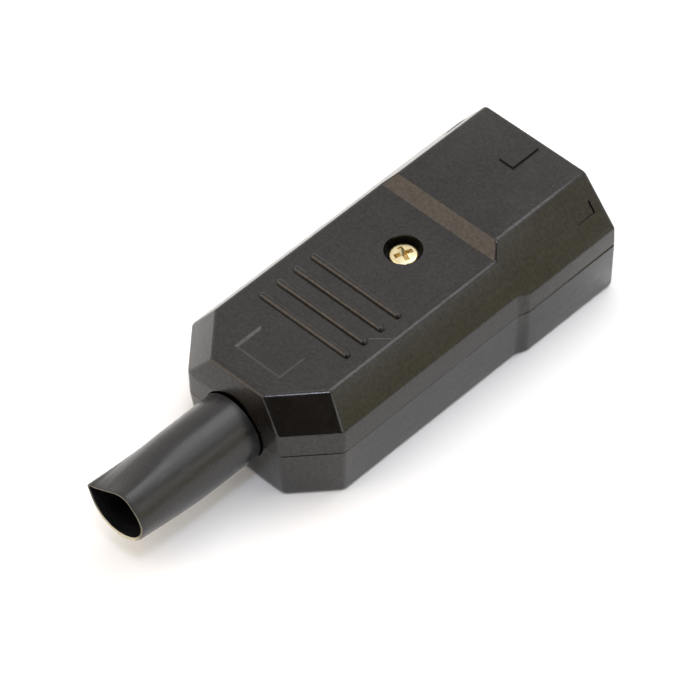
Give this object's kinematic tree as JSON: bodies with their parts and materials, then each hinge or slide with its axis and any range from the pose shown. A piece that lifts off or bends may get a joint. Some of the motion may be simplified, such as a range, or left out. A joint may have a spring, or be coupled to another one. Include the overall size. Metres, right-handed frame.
{
  "type": "c13 power connector",
  "caption": "Rewireable C13 mains connector: bevelled two-part housing round a socket insert, one cover screw, ribbed grip, chamfered rear and a short flexible cable sleeve.",
  "frame": {"origin": "on the mating face, midway between the line and neutral slots", "axes": "+Y out of the mating face towards the inlet; +Z from the line and neutral slots towards the earth slot and the top cover; x = 0 is the plane of symmetry of the housing"},
  "size_m": [0.024, 0.0649, 0.0156],
  "materials": {
    "housing": "moulded, semi-matt, warm black",
    "insert": "moulded, semi-matt, black",
    "contact": "bare",
    "plated_steel": "zinc plated",
    "yellow_steel": "yellow passivated",
    "clamp": "moulded",
    "sleeve": "soft PVC with a slight sheen"
  },
  "bodies": {
    "root": {"top_cover": "housing", "bottom_shell": "housing", "socket_insert": "insert", "line_contact": "contact", "neutral_contact": "contact", "earth_contact": "contact", "line_wire_washer": "plated_steel", "neutral_wire_washer": "plated_steel", "earth_wire_washer": "plated_steel", "line_terminal_screw": "plated_steel", "neutral_terminal_screw": "plated_steel", "earth_terminal_screw": "plated_steel", "cable_clamp": "clamp", "left_clamp_screw": "plated_steel", "right_clamp_screw": "plated_steel", "cable_sleeve": "sleeve", "housing_screw": "yellow_steel", "threaded_insert": "contact"}
  },
  "joints": []
}
